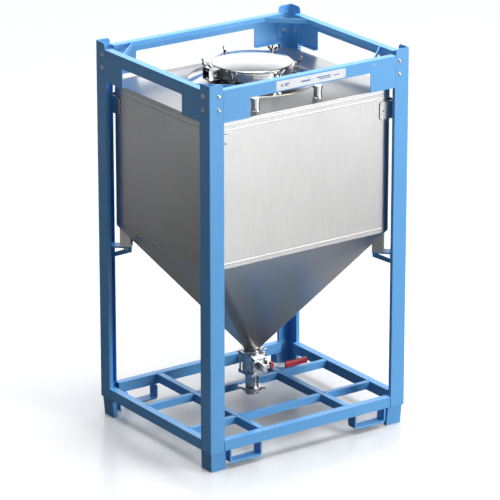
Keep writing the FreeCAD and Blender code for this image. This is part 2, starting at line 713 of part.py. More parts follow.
def swing_bolt():
    """Eye bolt standing on its pivot and its wing nut, leaning out, at plan angle 0."""
    eye = Part.makeCylinder(EYE_RADIUS, EYE_THICK, PIVOT - V(0, EYE_THICK / 2, 0), V(0, 1, 0))
    hole = Part.makeCylinder(PIVOT_PIN + PIN_PLAY, 2 * EYE_THICK, PIVOT - V(0, EYE_THICK, 0), V(0, 1, 0))
    start = (EYE_RADIUS + PIVOT_PIN) / 2
    shank = Part.makeCylinder(SWING_SHANK, SWING_LENGTH - start, PIVOT + V(0, 0, start), UP)
    bolt = eye.cut(hole).fuse(shank)
    base = PIVOT + V(0, 0, WING_START)
    hub = Part.makeCone(WING_HUB, WING_HUB_TOP, WING_HUB_HEIGHT, base, UP)
    half = [(WING_ROOT, OVER), (WING_SPAN, WING_SHOULDER), (WING_SPAN - WING_TIP, WING_HEIGHT),
            (WING_INNER, WING_HEIGHT - WING_DIP), (WING_ROOT, WING_VALLEY)]
    outline = half + [(-y, z) for y, z in reversed(half)]
    wings = slab([(base.x - WING_SHEET / 2, y, base.z + z) for y, z in outline], (WING_SHEET, 0, 0))
    bore = Part.makeCylinder(SWING_SHANK + THREAD_PLAY, 2 * WING_HEIGHT, base - V(0, 0, OVER))
    nut = fused([hub, wings]).cut(bore)
    pair = Part.Compound([bolt.Solids[0], nut.Solids[0]])
    pair.rotate(PIVOT, V(0, 1, 0), SWING_LEAN)
    return pair


PIN_AT = V(-RIM_RADIUS - HINGE_REACH, 0, LID_RIM_TOP + HINGE_RISE)


def hinge_bracket():
    """Two ears on the neck, joined by a base plate, that carry the lid's pin."""
    inner = HINGE_HALF + HINGE_EAR_GAP
    outer = inner + HINGE_EAR
    back, root = PIN_AT.x - HINGE_BACK, HINGE_EAR_ROOT - NECK_RADIUS
    low, crest = NECK_Z + HINGE_LIFT, PIN_AT.z + HINGE_EAR_CREST
    parts = [box((back, -outer, low), (root, outer, low + HINGE_EAR))]
    side_view = [(root, low), (back, low), (back, PIN_AT.z + HINGE_EAR_BACK),
                 (back + HINGE_EAR_CHAMFER, crest), (PIN_AT.x + HINGE_EAR_NOSE, crest),
                 (-RIM_RADIUS - OVER, RIM_Z), (root, RIM_Z)]
    for start in (-outer, inner):
        parts.append(slab([(x, start, z) for x, z in side_view], (0, HINGE_EAR, 0)))
    return fused(parts).cut(neck_core()).cut(pin_rod(HINGE_PIN, 2 * outer))


def pin_rod(radius, half):
    """Cylinder on the hinge's axis, reaching a distance each way."""
    return Part.makeCylinder(radius, 2 * half, PIN_AT - V(0, half, 0), V(0, 1, 0))


def hinge_pin():
    """Headed pin through both ears."""
    outer = HINGE_HALF + HINGE_EAR_GAP + HINGE_EAR
    heads = []
    for side in (-1, 1):
        face = PIN_AT + V(0, side * outer, 0)
        heads.append(Part.makeCylinder(HINGE_PIN_HEAD, HINGE_HEAD_THICK, face, V(0, side, 0)))
    return fused([pin_rod(HINGE_PIN, outer)] + heads)


def hinge_arm():
    """Strap on the lid's rim with a barrel round the pin."""
    inner = -LID_CROWN_RADIUS
    strap = box((PIN_AT.x, -HINGE_HALF, LID_RIM_TOP), (inner, HINGE_HALF, LID_RIM_TOP + HINGE_ARM))
    strap = strap.cut(rod(LID_CROWN_RADIUS, (0, 0, LID_Z), (0, 0, FRAME_HEIGHT)))
    barrel = pin_rod(HINGE_BARREL, HINGE_HALF)
    return fused([strap, barrel]).cut(pin_rod(HINGE_PIN + PIN_PLAY, HINGE_HALF + OVER))


def port_ferrule(x, y):
    """Short open tube through the roof."""
    low = TANK_TOP - PORT_BASE_DROP
    tube = rod(PORT_RADIUS, (x, y, low), (x, y, low + PORT_HEIGHT))
    return tube.cut(rod(PORT_RADIUS - PORT_WALL, (x, y, low - OVER), (x, y, low + PORT_HEIGHT + OVER)))


def port_cap(x, y):
    """Round cap on a port, with a softened edge."""
    low = TANK_TOP - PORT_BASE_DROP + PORT_HEIGHT
    cap = rod(PORT_CAP_RADIUS, (x, y, low), (x, y, low + PORT_CAP_HEIGHT))
    middle = low + PORT_CAP_HEIGHT / 2
    top = [e for e in cap.Edges if e.BoundBox.ZMin > middle and e.BoundBox.XLength > THIN]
    return cap.makeFillet(PORT_CAP_ROUND, top)


# ---------------------------------------------------------------- tank supports, along a corner's diagonal

def diagonal(shape):
    """Turns a shape drawn along +X to a corner's diagonal, in leg coordinates."""
    return turn_z(shape, 45)


def post_inside():
    """The space inside a post's two legs, in leg coordinates."""
    return box((SHEET, SHEET, 0), (HALF_Y, HALF_Y, FRAME_HEIGHT))


def support_bracket():
    """Shelf, gusset with a hole and back plate, between a post's legs."""
    low = SHELF_TOP - GUSSET_ROOT
    plate_end = BACK_PLATE_START + SHELF_SHEET
    shelf = box((plate_end, -SHELF_HALF, SHELF_TOP - SHELF_SHEET), (SHELF_END, SHELF_HALF, SHELF_TOP))
    half = GUSSET_SHEET / 2
    gusset = slab([(plate_end, -half, low), (plate_end, -half, SHELF_TOP - SHELF_SHEET),
                   (SHELF_END, -half, SHELF_TOP - SHELF_SHEET), (SHELF_END, -half, SHELF_TOP - GUSSET_TIP)],
                  (0, GUSSET_SHEET, 0))
    hole = slab([(s, -half - OVER, SHELF_TOP - SHELF_SHEET - drop) for s, drop in GUSSET_HOLE],
                (0, GUSSET_SHEET + 2 * OVER, 0))
    back = box((BACK_PLATE_START, -POST_LEG, low), (plate_end, POST_LEG, SHELF_TOP))
    bracket = fused([shelf, gusset.cut(hole), back])
    bracket = bracket.cut(leg_bolt_rod(M12 + BOLT_PLAY, low, SHELF_TOP + OVER))
    return diagonal(bracket).common(post_inside())


def leg_bolt_rod(radius, low, high):
    """Cylinder on the leg bolt's axis between two levels."""
    return rod(radius, (LEG_BOLT_AT, LEG_BOLT_SIDE, low), (LEG_BOLT_AT, LEG_BOLT_SIDE, high))


def tank_leg():
    """Channel leg that stands on the shelf and carries the hopper's corner."""
    web = box((LEG_START, -SHELF_HALF, SHELF_TOP), (LEG_START + LEG_SHEET, SHELF_HALF, LEG_TOP))
    cheeks = [box((LEG_START, y, SHELF_TOP), (SHELF_END, y + LEG_SHEET, LEG_TOP))
              for y in (-SHELF_HALF, SHELF_HALF - LEG_SHEET)]
    base = box((LEG_START, -SHELF_HALF, SHELF_TOP), (SHELF_END, SHELF_HALF, SHELF_TOP + LEG_BASE))
    return fused([web, base] + cheeks).cut(leg_bolt_rod(M12 + BOLT_PLAY, 0, SHELF_TOP + LEG_BASE + OVER))


def leg_bolt():
    """Hexagon bolt through the leg's base and the shelf."""
    under = SHELF_TOP - SHELF_SHEET - NUT_HEIGHT - THREAD_STICKOUT
    top = SHELF_TOP + LEG_BASE
    head = hexagon(LEG_BOLT_FLATS, LEG_BOLT_HEAD, V(LEG_BOLT_AT, LEG_BOLT_SIDE, top), UP, 0)
    return fused([leg_bolt_rod(M12, under, top), head])


def leg_nut():
    """Nut under the shelf."""
    place = V(LEG_BOLT_AT, LEG_BOLT_SIDE, SHELF_TOP - SHELF_SHEET)
    return hexagon(NUT_FLATS, NUT_HEIGHT, place, UP * -1, M12 + THREAD_PLAY)


def corner_bracket():
    """Folded angle round the tank's corner, its flanges flat on the walls, at the +X +Y corner."""
    low, high = BRACKET_BOTTOM, BRACKET_BOTTOM + BRACKET_HEIGHT
    inner_fold = BRACKET_FOLD - BRACKET_SHEET
    outer = rounded_outline(TANK_X + BRACKET_SHEET, TANK_Y + BRACKET_SHEET, BRACKET_FOLD, low)
    inner = rounded_outline(TANK_X, TANK_Y, inner_fold, low - OVER)
    band = prism(outer, BRACKET_HEIGHT).cut(prism(inner, BRACKET_HEIGHT + 2 * OVER))
    flat_x = TANK_X - TANK_CORNER - BRACKET_LENGTH
    flat_y = TANK_Y - TANK_CORNER - BRACKET_LENGTH
    angle = band.common(box((flat_x, flat_y, low), (HALF_X, HALF_Y, high)))
    ends = [e for e in angle.Edges if along_y(e) and abs(e.BoundBox.XMin - flat_x) < THIN]
    ends += [e for e in angle.Edges if along_x(e) and abs(e.BoundBox.YMin - flat_y) < THIN]
    return angle.makeFillet(BRACKET_ROUND, ends)


# ---------------------------------------------------------------- outlet

def ferrule():
    """Outlet ferrule: a cone-bored neck and a clamp rim."""
    top = HOPPER_BOTTOM
    step = FERRULE_BOTTOM + FERRULE_RIM_HEIGHT
    wide = OUTLET_HALF - TANK_WALL
    return spun([(wide, top), (OUTLET_HALF, top), (OUTLET_HALF - FERRULE_TAPER, step), (FERRULE_RIM, step),
                 (FERRULE_RIM, FERRULE_BOTTOM), (PIPE_BORE, FERRULE_BOTTOM), (PIPE_BORE, step)])


def valve_body():
    """Round body with its cavity, a flat pad for the bonnet and a stem hole."""
    shell = rod(BODY_RADIUS, (0, 0, BODY_BOTTOM), (0, 0, BODY_TOP))
    pad = box((-BODY_PAD, -PLATE_Y, BODY_BOTTOM), (BODY_PAD, -BODY_PAD_START, BODY_TOP))
    cavity = rod(CAVITY_RADIUS, (0, 0, BODY_BOTTOM - OVER), (0, 0, BODY_TOP + OVER))
    return fused([shell, pad]).cut(cavity).cut(stem_rod(STEM_RADIUS + STEM_PLAY, 0, BOSS_Y))


def stem_rod(radius, start, end):
    """Cylinder along the stem's axis between two y values."""
    return rod(radius, (0, start, BALL_Z), (0, end, BALL_Z))


def end_plates():
    """Upper end plate with its clamp rim, and lower end plate with its tube and rim."""
    upper = prism(rounded_outline(PLATE_X, PLATE_Y, BODY_CORNER, BODY_TOP), END_PLATE)
    upper = fused([upper, rod(FERRULE_RIM, (0, 0, UPPER_PLATE_TOP), (0, 0, FERRULE_BOTTOM))])
    lower = prism(rounded_outline(PLATE_X, PLATE_Y, BODY_CORNER, LOWER_PLATE_BOTTOM), END_PLATE)
    lower = fused([lower, rod(PIPE, (0, 0, JOINT_Z), (0, 0, LOWER_PLATE_BOTTOM)),
                   rod(FERRULE_RIM, (0, 0, JOINT_Z), (0, 0, JOINT_Z + FERRULE_RIM_HEIGHT))])
    plates = []
    for plate in (upper, lower):
        plate = plate.cut(rod(VALVE_BORE, (0, 0, 0), (0, 0, HOPPER_BOTTOM)))
        plates.append(plate.cut(tie_rods(TIE_BOLT + THREAD_PLAY, 0, HOPPER_BOTTOM)))
    return plates


def tie_rods(radius, low, high):
    """Four rods on the tie bolts' places."""
    spots = [(sx * (PLATE_X - TIE_INSET), sy * (PLATE_Y - TIE_INSET)) for sx in (-1, 1) for sy in (-1, 1)]
    return Part.Compound([rod(radius, (x, y, low), (x, y, high)) for x, y in spots])


def valve_bolts():
    """Tie bolts with heads at both ends, and the bonnet's four screws."""
    bolts = []
    for sx in (-1, 1):
        for sy in (-1, 1):
            x, y = sx * (PLATE_X - TIE_INSET), sy * (PLATE_Y - TIE_INSET)
            low, high = LOWER_PLATE_BOTTOM, UPPER_PLATE_TOP
            bolts.append(fused([rod(TIE_BOLT, (x, y, low), (x, y, high)),
                                rod(TIE_HEAD, (x, y, high), (x, y, high + TIE_HEAD_HEIGHT)),
                                rod(TIE_HEAD, (x, y, low - TIE_HEAD_HEIGHT), (x, y, low))]))
    for x, z in bonnet_spots():
        bolts.append(fused([rod(TIE_BOLT, (x, -PLATE_Y, z), (x, BONNET_Y, z)),
                            rod(TIE_HEAD, (x, BONNET_Y, z), (x, BONNET_Y - TIE_HEAD_HEIGHT, z))]))
    return bolts


def bonnet_spots():
    """Places of the bonnet's screws."""
    reach = BONNET_HALF - BONNET_BOLT_INSET
    return [(sx * reach, BALL_Z + sz * reach) for sx in (-1, 1) for sz in (-1, 1)]


def bonnet():
    """Square cover on the stem's side with a round boss."""
    half = BONNET_HALF
    cover = box((-half, BONNET_Y, BALL_Z - half), (half, -PLATE_Y, BALL_Z + half))
    cover = cover.makeFillet(BODY_CORNER, [e for e in cover.Edges if along_y(e)])
    cover = fused([cover, stem_rod(BOSS_RADIUS, BONNET_Y, BOSS_Y)])
    cover = cover.cut(stem_rod(STEM_RADIUS + STEM_PLAY, 0, BOSS_Y - OVER))
    for x, z in bonnet_spots():
        cover = cover.cut(rod(TIE_BOLT, (x, -PLATE_Y + OVER, z), (x, BONNET_Y - OVER, z)))
    return cover


def ball():
    """Ball in its closed position: the bore lies along X."""
    shape = Part.makeSphere(BALL_RADIUS, V(0, 0, BALL_Z))
    shape = shape.cut(rod(VALVE_BORE, (-2 * BALL_RADIUS, 0, BALL_Z), (2 * BALL_RADIUS, 0, BALL_Z)))
    return shape.cut(stem_rod(STEM_RADIUS + STEM_PLAY, -STEM_SOCKET, -BALL_RADIUS - OVER))


def seat_ring(side):
    """Seal ring between the ball and an end plate."""
    ends = sorted((side * SEAT_REACH, side * (BODY_HEIGHT / 2)))
    ring = rod(CAVITY_RADIUS - SEAT_PLAY, (0, 0, BALL_Z + ends[0]), (0, 0, BALL_Z + ends[1]))
    ring = ring.cut(rod(VALVE_BORE, (0, 0, 0), (0, 0, HOPPER_BOTTOM)))
    return ring.cut(Part.makeSphere(BALL_RADIUS + BALL_PLAY, V(0, 0, BALL_Z)))


def lever():
    """Hub on the stem and a stepped flat bar towards the grip."""
    hub = stem_rod(HUB_RADIUS, HUB_BACK, HUB_FRONT)
    low, end = LEVER_Y - LEVER_SHEET / 2, GRIP_END - GRIP_CAP
    middle_line = [(0, 0), (LEVER_STEP_START, 0), (GRIP_START - BAR_STEP_END, -LEVER_STEP),
                   (end, -LEVER_STEP)]
    upper = [(x, z + LEVER_BAR / 2) for x, z in middle_line]
    lower = [(x, z - LEVER_BAR / 2) for x, z in reversed(middle_line)]
    bar = slab([(x, low, BALL_Z + z) for x, z in upper + lower], (0, LEVER_SHEET, 0))
    return fused([hub, bar]).cut(stem_rod(STEM_RADIUS + STEM_PLAY, HUB_BACK + OVER, HUB_FRONT - OVER))


def rounded_bar(low, high, radius):
    """A box with its long edges, along X, rounded."""
    bar = box(low, high)
    return bar.makeFillet(radius, [e for e in bar.Edges if along_x(e)])


def lever_grip(bar):
    """Moulded grip sleeved over the bar's end."""
    middle = BALL_Z - LEVER_STEP
    sleeve = rounded_bar((GRIP_START, LEVER_Y - GRIP_THICK / 2, middle - GRIP_HEIGHT / 2),
                         (GRIP_END, LEVER_Y + GRIP_THICK / 2, middle + GRIP_HEIGHT / 2), GRIP_ROUND)
    return sleeve.cut(bar)


def lever_collar():
    """Moulded collar round the bar beside the hub."""
    end = COLLAR_START + COLLAR_LENGTH
    outer = rounded_bar((COLLAR_START, LEVER_Y - COLLAR_THICK / 2, BALL_Z - COLLAR_HEIGHT / 2),
                        (end, LEVER_Y + COLLAR_THICK / 2, BALL_Z + COLLAR_HEIGHT / 2), COLLAR_ROUND)
    half, slack = LEVER_BAR / 2 + COLLAR_PLAY, LEVER_SHEET / 2 + COLLAR_PLAY
    return outer.cut(box((0, LEVER_Y - slack, BALL_Z - half), (GRIP_START, LEVER_Y + slack, BALL_Z + half)))


def pipe_clamp(middle, heading):
    """Two-screw pipe clamp ring round a pair of rims, its ears and wing screws on opposite sides."""
    low, high = middle - CLAMP_HEIGHT / 2, middle + CLAMP_HEIGHT / 2
    parts = [rod(CLAMP_RADIUS, (0, 0, low), (0, 0, high))]
    inner, outer = [CLAMP_RADIUS + reach for reach in CLAMP_WING]
    screw_x, wing_half = CLAMP_RADIUS + CLAMP_SCREW_AT, CLAMP_WING_SHEET / 2
    for turn in (0, 180):
        ear = box((CLAMP_RADIUS - CLAMP_EAR_ROOT, -CLAMP_EAR / 2, low + CLAMP_EAR_INSET),
                  (CLAMP_RADIUS + CLAMP_EAR_REACH, CLAMP_EAR / 2, high - CLAMP_EAR_INSET))
        screw = rod(CLAMP_SCREW, (screw_x, -CLAMP_EAR, middle), (screw_x, CLAMP_EAR, middle))
        wing = box((inner, -CLAMP_EAR - CLAMP_WING_SHEET, middle - wing_half),
                   (outer, -CLAMP_EAR, middle + wing_half))
        parts += [turn_z(piece, turn) for piece in (ear, screw, wing)]
    bore = rod(FERRULE_RIM + CLAMP_PLAY, (0, 0, low - OVER), (0, 0, high + OVER))
    return turn_z(fused(parts).cut(bore), heading)


def spigot():
    """Outlet spigot under the lower clamp."""
    rim = JOINT_Z - FERRULE_RIM_HEIGHT
    return spun([(PIPE_BORE, JOINT_Z), (FERRULE_RIM, JOINT_Z), (FERRULE_RIM, rim), (PIPE, rim),
                 (PIPE, rim - SPIGOT), (PIPE_BORE, rim - SPIGOT)])


# ---------------------------------------------------------------- assembly

def in_corners(shape):
    """The same shape at all four corners, as one group."""
    solids = []
    for corner in CORNERS:
        solids += cornered(shape, corner).Solids
    return Part.Compound(solids)


def build_frame():
    """Writes the painted frame and its fasteners."""
    one_post, one_foot = post(), foot()
    for corner in CORNERS:
        save("post_" + corner, cornered(one_post, corner))
        save("foot_" + corner, cornered(one_foot, corner))
    long_rail = top_rail(FRAME_LENGTH, NOTCH_X, ())
    front = top_rail(FRAME_LENGTH, NOTCH_X, (SLING_HOLE_X,))
    short_rail = top_rail(FRAME_WIDTH, NOTCH_Y, ())
    sides = (("front", front, 0, (0, -HALF_Y)), ("right", short_rail, 90, (HALF_X, 0)),
             ("rear", long_rail, 180, (0, HALF_Y)), ("left", short_rail, 270, (-HALF_X, 0)))
    for name, rail, turn, shift in sides:
        placed = turn_z(rail, turn)
        placed.translate(V(shift[0], shift[1], 0))
        save("top_rail_" + name, placed)
    save("corner_braces", in_corners(corner_brace()))
    bolts = [rail_bolt(p, w) for p, w in bolt_spots()] + [diagonal(leg_bolt())]
    nuts = [rail_nut(p, w) for p, w in bolt_spots()] + [diagonal(leg_nut())]
    save("frame_bolts", in_corners(Part.Compound(bolts)))
    save("frame_nuts", in_corners(Part.Compound(nuts)))
    build_base()
    build_type_plate()


def build_base():
    """Writes the base rails, members and fork guards."""
    low = BASE_TOP - BASE_RAIL_HEIGHT
    end_x, end_y = HALF_X - POST_LEG, HALF_Y - POST_LEG
    inner_x, inner_y = HALF_X - BASE_RAIL_DEPTH, HALF_Y - BASE_RAIL_DEPTH
    save("base_rail_front", box_tube((-end_x, -HALF_Y, low), (end_x, -inner_y, BASE_TOP), 0))
    save("base_rail_rear", box_tube((-end_x, inner_y, low), (end_x, HALF_Y, BASE_TOP), 0))
    save("base_rail_left", box_tube((-HALF_X, -end_y, low), (-inner_x, end_y, BASE_TOP), 1))
    save("base_rail_right", box_tube((inner_x, -end_y, low), (HALF_X, end_y, BASE_TOP), 1))
    outer = LONG_MEMBER_INNER + LONG_MEMBER_WIDTH
    floor = BASE_TOP - LONG_MEMBER_HEIGHT
    members = [box_tube((x, -inner_y, floor), (x + LONG_MEMBER_WIDTH, inner_y, BASE_TOP), 1)
               for x in (-outer, LONG_MEMBER_INNER)]
    save("long_members", Part.Compound(members))
    pieces = []
    for rear in CROSS_REAR_FACES:
        for a, b in ((-inner_x, -outer), (-LONG_MEMBER_INNER, LONG_MEMBER_INNER), (outer, inner_x)):
            pieces.append(box_tube((a, rear - CROSS_MEMBER_WIDTH, BASE_TOP - CROSS_MEMBER_HEIGHT),
                                   (b, rear, BASE_TOP), 0))
    save("cross_members", Part.Compound(pieces))
    save("fork_guards", Part.Compound([fork_guard(side, end) for side in (-1, 1) for end in (-1, 1)]))


def build_type_plate():
    """Writes the plate on the front top rail and its rivets."""
    top = RAIL_TOP - PLATE_DROP
    low = top - PLATE_HEIGHT
    face = -HALF_Y
    plate = box((-PLATE_LENGTH / 2, face - PLATE_SHEET, low), (PLATE_LENGTH / 2, face, top))
    rivets = []
    for x in (-PLATE_LENGTH / 2 + PLATE_RIVET_INSET, PLATE_LENGTH / 2 - PLATE_RIVET_INSET):
        for z in (low + PLATE_RIVET_INSET, top - PLATE_RIVET_INSET):
            place = V(x, face - PLATE_SHEET, z)
            rivets.append(Part.makeSphere(PLATE_RIVET, place, V(0, -1, 0), 0, 90))
    save("type_plate", plate)
    save("plate_rivets", Part.Compound(rivets))


def build_tank():
    """Writes the tank, its supports, its roof, hatch and ports."""
    save("tank_shell", tank_shell())
    inside = hopper_block(-TANK_WALL)
    outside = hopper_block(0)
    save("hopper", outside.cut(inside))
    save("roof", roof())
    save("hatch_neck", hatch_neck())
    wall_block = tank_block(0, TANK_BOTTOM, TANK_TOP)
    legs = []
    for corner in CORNERS:
        leg = cornered(diagonal(tank_leg()), corner).cut(outside).cut(wall_block)
        legs.append(max(leg.Solids, key=lambda solid: solid.Volume))
    save("tank_legs", Part.Compound(legs))
    save("support_brackets", in_corners(support_bracket()))
    brackets = []
    for sx, sy in CORNERS.values():
        bracket = corner_bracket()
        bracket = bracket if sx > 0 else bracket.mirror(V(0, 0, 0), V(1, 0, 0))
        brackets.append(bracket if sy > 0 else bracket.mirror(V(0, 0, 0), V(0, 1, 0)))
    save("corner_brackets", Part.Compound(brackets))
    save("port_ferrules", Part.Compound([port_ferrule(x, y) for x, y in PORTS]))
    save("port_caps", Part.Compound([port_cap(x, y) for x, y in PORTS]))


def build_hatch():
    """Writes the lid, its hinge and the swing bolts."""
    save("lid", lid())
    save("lid_gasket", lid_gasket())
    save("hinge_bracket", hinge_bracket())
    save("hinge_pin", hinge_pin())
    save("hinge_arm", hinge_arm())
    save("lid_forks", Part.Compound([turn_z(fork_lug(), a).Solids[0] for a in SWING_ANGLES]))
    cheeks = [turn_z(cheek, a).Solids[0] for a in SWING_ANGLES for cheek in clevis_pair()]
    save("clevis_cheeks", Part.Compound(cheeks))
    save("pivot_pins", Part.Compound([turn_z(pivot_pin(), a) for a in SWING_ANGLES]))
    for number, angle in enumerate(SWING_ANGLES, 1):
        save("swing_bolt_%d" % number, turn_z(swing_bolt(), angle))


def build_outlet():
    """Writes the outlet valve and its lever."""
    save("outlet_ferrule", ferrule())
    save("valve_body", valve_body())
    save("valve_end_plates", Part.Compound(end_plates()))
    save("valve_bolts", Part.Compound(valve_bolts()))
    save("valve_bonnet", bonnet())
    save("valve_ball", ball())
    save("valve_seats", Part.Compound([seat_ring(side) for side in (-1, 1)]))
    save("valve_stem", stem_rod(STEM_RADIUS, -STEM_SOCKET, HUB_FRONT - STEM_END))
    bar = lever()
    save("lever", bar)
    save("lever_grip", lever_grip(bar))
    save("lever_collar", lever_collar())
    clamps = [pipe_clamp(FERRULE_BOTTOM, UPPER_CLAMP_HEADING), pipe_clamp(JOINT_Z, LOWER_CLAMP_HEADING)]
    save("pipe_clamps", Part.Compound(clamps))
    save("outlet_spigot", spigot())


os.makedirs("parts", exist_ok=True)
build_frame()
build_tank()
build_hatch()
build_outlet()
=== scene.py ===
import json
import math

import bpy
import numpy as np
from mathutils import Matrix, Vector

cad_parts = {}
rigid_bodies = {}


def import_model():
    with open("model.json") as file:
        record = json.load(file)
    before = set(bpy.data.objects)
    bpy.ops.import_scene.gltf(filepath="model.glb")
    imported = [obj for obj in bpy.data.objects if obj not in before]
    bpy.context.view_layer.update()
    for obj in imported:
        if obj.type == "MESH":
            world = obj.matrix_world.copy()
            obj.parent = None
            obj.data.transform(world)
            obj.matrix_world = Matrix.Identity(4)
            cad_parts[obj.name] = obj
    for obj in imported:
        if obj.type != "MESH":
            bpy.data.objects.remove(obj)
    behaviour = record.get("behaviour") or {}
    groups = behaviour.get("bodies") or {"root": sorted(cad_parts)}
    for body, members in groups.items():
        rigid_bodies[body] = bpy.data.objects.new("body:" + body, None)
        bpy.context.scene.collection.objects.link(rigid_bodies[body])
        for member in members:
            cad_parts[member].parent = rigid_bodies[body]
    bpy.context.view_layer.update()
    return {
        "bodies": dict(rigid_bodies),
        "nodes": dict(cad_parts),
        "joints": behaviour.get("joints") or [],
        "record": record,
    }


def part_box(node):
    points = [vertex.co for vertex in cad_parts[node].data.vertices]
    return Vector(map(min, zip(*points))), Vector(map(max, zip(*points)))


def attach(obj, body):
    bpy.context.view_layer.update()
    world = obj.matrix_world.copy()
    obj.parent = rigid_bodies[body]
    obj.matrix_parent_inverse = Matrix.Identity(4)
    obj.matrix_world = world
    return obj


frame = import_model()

NODES = frame["nodes"]
TURN = 2 * math.pi
UP = np.array((0.0, 0.0, 1.0))
FRONTWARD = np.array((0.0, -1.0, 0.0))
EDGE_SAMPLES = 6
CORNER_SIGNS = [(sx, sy) for sx in (-1, 1) for sy in (-1, 1)]

# Weld beads, in metres: sides of a bead's section, its radius and ripple pitch on the frame, and the share
# of the radius by which a ripple rises and falls
BEAD_SIDES = 8
FRAME_BEAD = 0.003
FRAME_PITCH = 0.005
RIPPLE = 0.125
FEWEST_STEPS = 8
TAPER_SLOPE, TAPER_END = 8, 0.05

# Base members: width of the long ones, and the rear faces, width and height of the cross ones
LONG_WIDTH = 0.032
CROSS_REAR_FACES = (-0.240, 0.138)
CROSS_WIDTH = 0.025
CROSS_HEIGHT = 0.038

# Tank welds: bead radius round the neck and at its rim, round the ports and round the outlet
NECK_BEAD, RIM_BEAD, PORT_BEAD, OUTLET_BEAD = 0.0028, 0.0025, 0.0025, 0.0022
RIM_WELD_HEIGHT, RIM_WELD_RADIUS = 1.859, 0.2015
NECK_WELD_LIFT, NECK_WELD_GAP, OUTLET_WELD_GAP = 0.003, 0.0015, 0.0005
PORT_PLACES = ((0.117, -0.395), (-0.257, -0.395))
PORT_WELD_RADIUS, PORT_PITCH = 0.0225, 0.005
ABOVE_ROOF = 1.80
LEVEL_PITCH = 0.006

# Corner brackets: sheet, flange length from the wall's corner, plug weld's distance from the free edge
BRACKET_SHEET = 0.005
BRACKET_FLANGE = 0.098
PLUG_INSET = 0.022
PLUG_PROFILE = [(0.0055, -0.001), (0.0048, 0.0009), (0.0025, 0.0018)]
PLUG_SIDES = 14
SEAM_REACH, SEAM_CORNER, SEAM_BEAD, SEAM_RIPPLE = 0.028, 0.016, 0.0024, 0.15
BEND_STEPS, REACH_STEPS, CLIMB_STEPS = 7, 5, 26

# Type plate: the spot's profile and place, and each bar's start, end, lift and half height
SPOT_PROFILE = [(0.0062, -0.0002), (0.0062, 0.0002), (0.0058, 0.0004)]
SPOT_INSET = 0.034
BARS = ((0.050, 0.078, 0.004, 0.0030), (0.050, 0.070, -0.004, 0.0022), (0.150, 0.205, 0.0, 0.0040),
        (0.245, 0.325, 0.004, 0.0030), (0.262, 0.325, -0.005, 0.0022), (0.345, 0.380, 0.0, 0.0022))
BAR_SQUASH, BAR_STEPS, SPOT_SIDES = 0.12, 6, 28

# Stem: profiles of the washer and of the hexagon nut
WASHER_PROFILE = [(0.0170, -0.0005), (0.0173, 0.0006), (0.0168, 0.0014)]
NUT_PROFILE = [(0.0140, 0.0010), (0.0150, 0.0018), (0.0150, 0.0066), (0.0138, 0.0074)]
WASHER_SIDES, HEXAGON = 32, 6


# ---------------------------------------------------------------- shader maths

class Wire:
    """A shader socket that adds Math nodes when it is used in an expression."""

    def __init__(self, paint, socket):
        self.paint, self.socket = paint, socket

    def maths(self, operation, *others):
        """One Math node on this socket and other sockets or numbers."""
        values = dict(enumerate((self,) + others))
        return self.paint.node("ShaderNodeMath", {"operation": operation}, values)

    def __add__(self, other):
        return self.maths("ADD", other)

    def __rsub__(self, other):
        return self.paint.node("ShaderNodeMath", {"operation": "SUBTRACT"}, {0: other, 1: self})

    def __mul__(self, other):
        return self.maths("MULTIPLY", other)

    def __pow__(self, other):
        return self.maths("POWER", other)

    __radd__ = __add__
    __rmul__ = __mul__

    def clamp(self):
        """The value held between 0 and 1."""
        return self.paint.node("ShaderNodeClamp", {}, {0: self})

    def step(self, low, high):
        """A smooth step from 0 at low to 1 at high."""
        settings = {"interpolation_type": "SMOOTHSTEP"}
        return self.paint.node("ShaderNodeMapRange", settings, {0: self, 1: low, 2: high})


